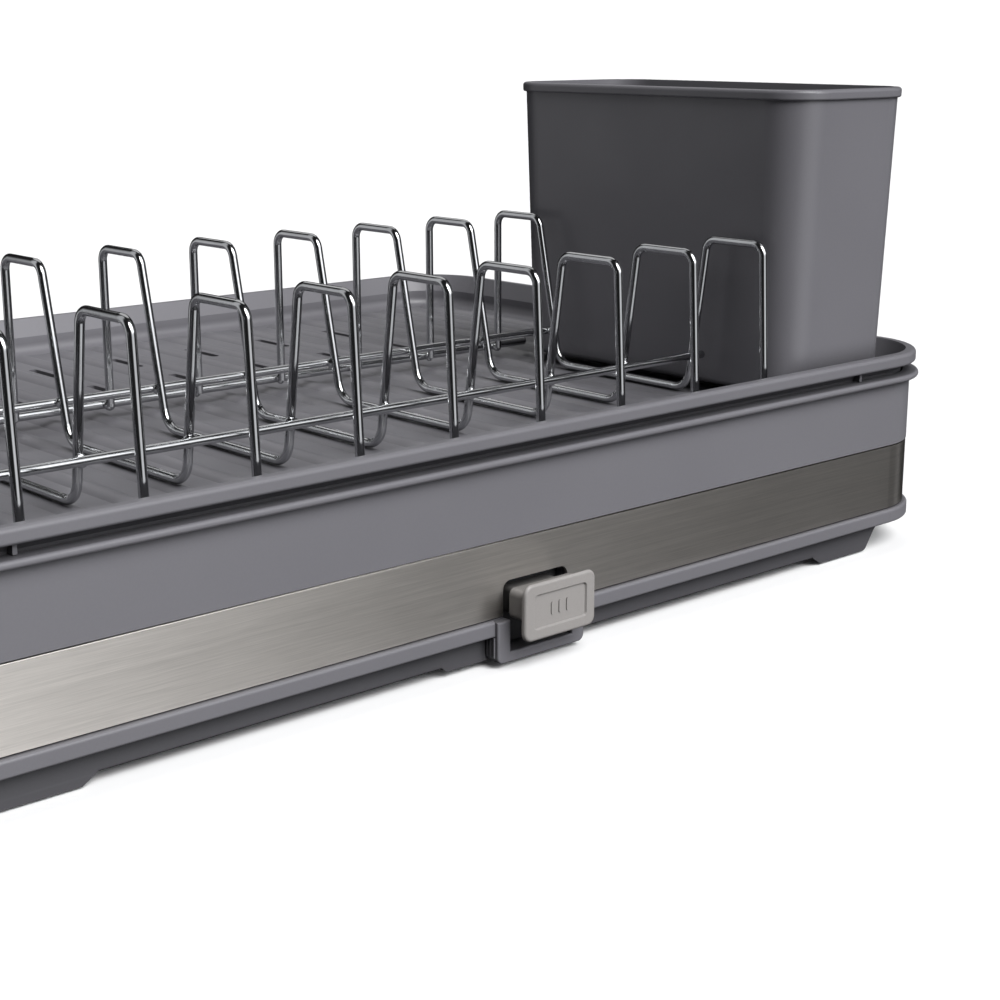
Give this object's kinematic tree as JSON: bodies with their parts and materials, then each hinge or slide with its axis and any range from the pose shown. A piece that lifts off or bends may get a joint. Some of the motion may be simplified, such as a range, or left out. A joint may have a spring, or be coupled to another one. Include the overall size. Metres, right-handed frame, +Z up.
{
  "type": "dish drying rack",
  "caption": "Rectangular dish drying rack: deep basin with a metal band, lift-out ribbed drip tray, wire plate rack, tall cutlery cup, and a push plug at the front drain.",
  "frame": {"origin": "on the surface the rack stands on, under the middle of the whole rack's box, drain cap included", "axes": "+X along the long side towards the cutlery cup, -Y towards the front with the drain, +Z up"},
  "size_m": [0.4902, 0.3462, 0.19],
  "materials": {
    "tray_plastic": "satin moulded plastic, mid grey",
    "steel": "brushed along the band",
    "light_plastic": "satin moulded plastic, light warm grey",
    "stem_plastic": "satin moulded plastic, mid warm grey",
    "rubber": "soft rubber",
    "chrome_wire": "bright chrome plate on steel wire",
    "cup_plastic": "satin moulded plastic, mid grey",
    "divider_plastic": "satin moulded plastic, mid grey"
  },
  "bodies": {
    "root": {"outer_tray": "tray_plastic", "steel_band": "steel", "drain_spout": "tray_plastic", "foot_front_left": "tray_plastic", "foot_pad_front_left": "rubber", "foot_front_right": "tray_plastic", "foot_pad_front_right": "rubber", "foot_back_left": "tray_plastic", "foot_pad_back_left": "rubber", "foot_back_right": "tray_plastic", "foot_pad_back_right": "rubber"},
    "drain_plug": {"plug_cap": "light_plastic", "plug_stem": "stem_plastic", "plug_seal": "rubber"},
    "drip_tray": {"inner_tray": "tray_plastic"},
    "plate_rack": {"prong_wire_1": "chrome_wire", "prong_wire_2": "chrome_wire", "prong_wire_3": "chrome_wire", "prong_wire_4": "chrome_wire", "prong_wire_5": "chrome_wire", "prong_wire_6": "chrome_wire", "prong_wire_7": "chrome_wire", "prong_wire_8": "chrome_wire", "prong_wire_9": "chrome_wire", "prong_wire_10": "chrome_wire", "front_rod": "chrome_wire", "middle_rod": "chrome_wire", "rear_rod": "chrome_wire", "front_base_rod": "chrome_wire"},
    "cutlery_cup": {"holder_cup": "cup_plastic", "holder_divider_1": "divider_plastic", "holder_divider_2": "divider_plastic"}
  },
  "joints": [
    {"name": "drain_push", "type": "slide", "parent": "root", "child": "drain_plug", "axis": [0, 1, 0], "range_m": [0, 0.0048]},
    {"name": "drip_tray_lift", "type": "slide", "parent": "root", "child": "drip_tray", "axis": [0, 0, 1], "range_m": [0, 0.15]},
    {"name": "plate_rack_lift", "type": "slide", "parent": "drip_tray", "child": "plate_rack", "axis": [0, 0, 1], "range_m": [0, 0.15]},
    {"name": "cutlery_cup_lift", "type": "slide", "parent": "drip_tray", "child": "cutlery_cup", "axis": [0, 0, 1], "range_m": [0, 0.15]}
  ]
}
